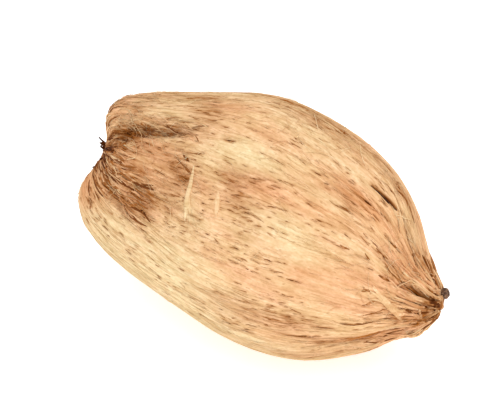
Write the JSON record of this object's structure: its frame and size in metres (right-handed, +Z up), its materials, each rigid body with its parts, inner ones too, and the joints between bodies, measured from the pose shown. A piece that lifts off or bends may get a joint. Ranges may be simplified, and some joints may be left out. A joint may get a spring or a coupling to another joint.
{
  "type": "semi-husked coconut",
  "caption": "Whole coconut stripped to its fibrous husk: a long rounded nut with blunt ridges, a dark stem scar and a blunt tip, lying on a small flat spot.",
  "frame": {"origin": "on the surface that the nut lies on, under the middle of its box", "axes": "+X along the nut from the stem scar to the tip, +Z up, +Y to the back"},
  "size_m": [0.2188, 0.134, 0.1289],
  "materials": {
    "husk_fibre": "dry matt packed plant fibre, cream to tan, brown in the creases"
  },
  "bodies": {
    "root": {"husk": "husk_fibre"}
  },
  "joints": []
}
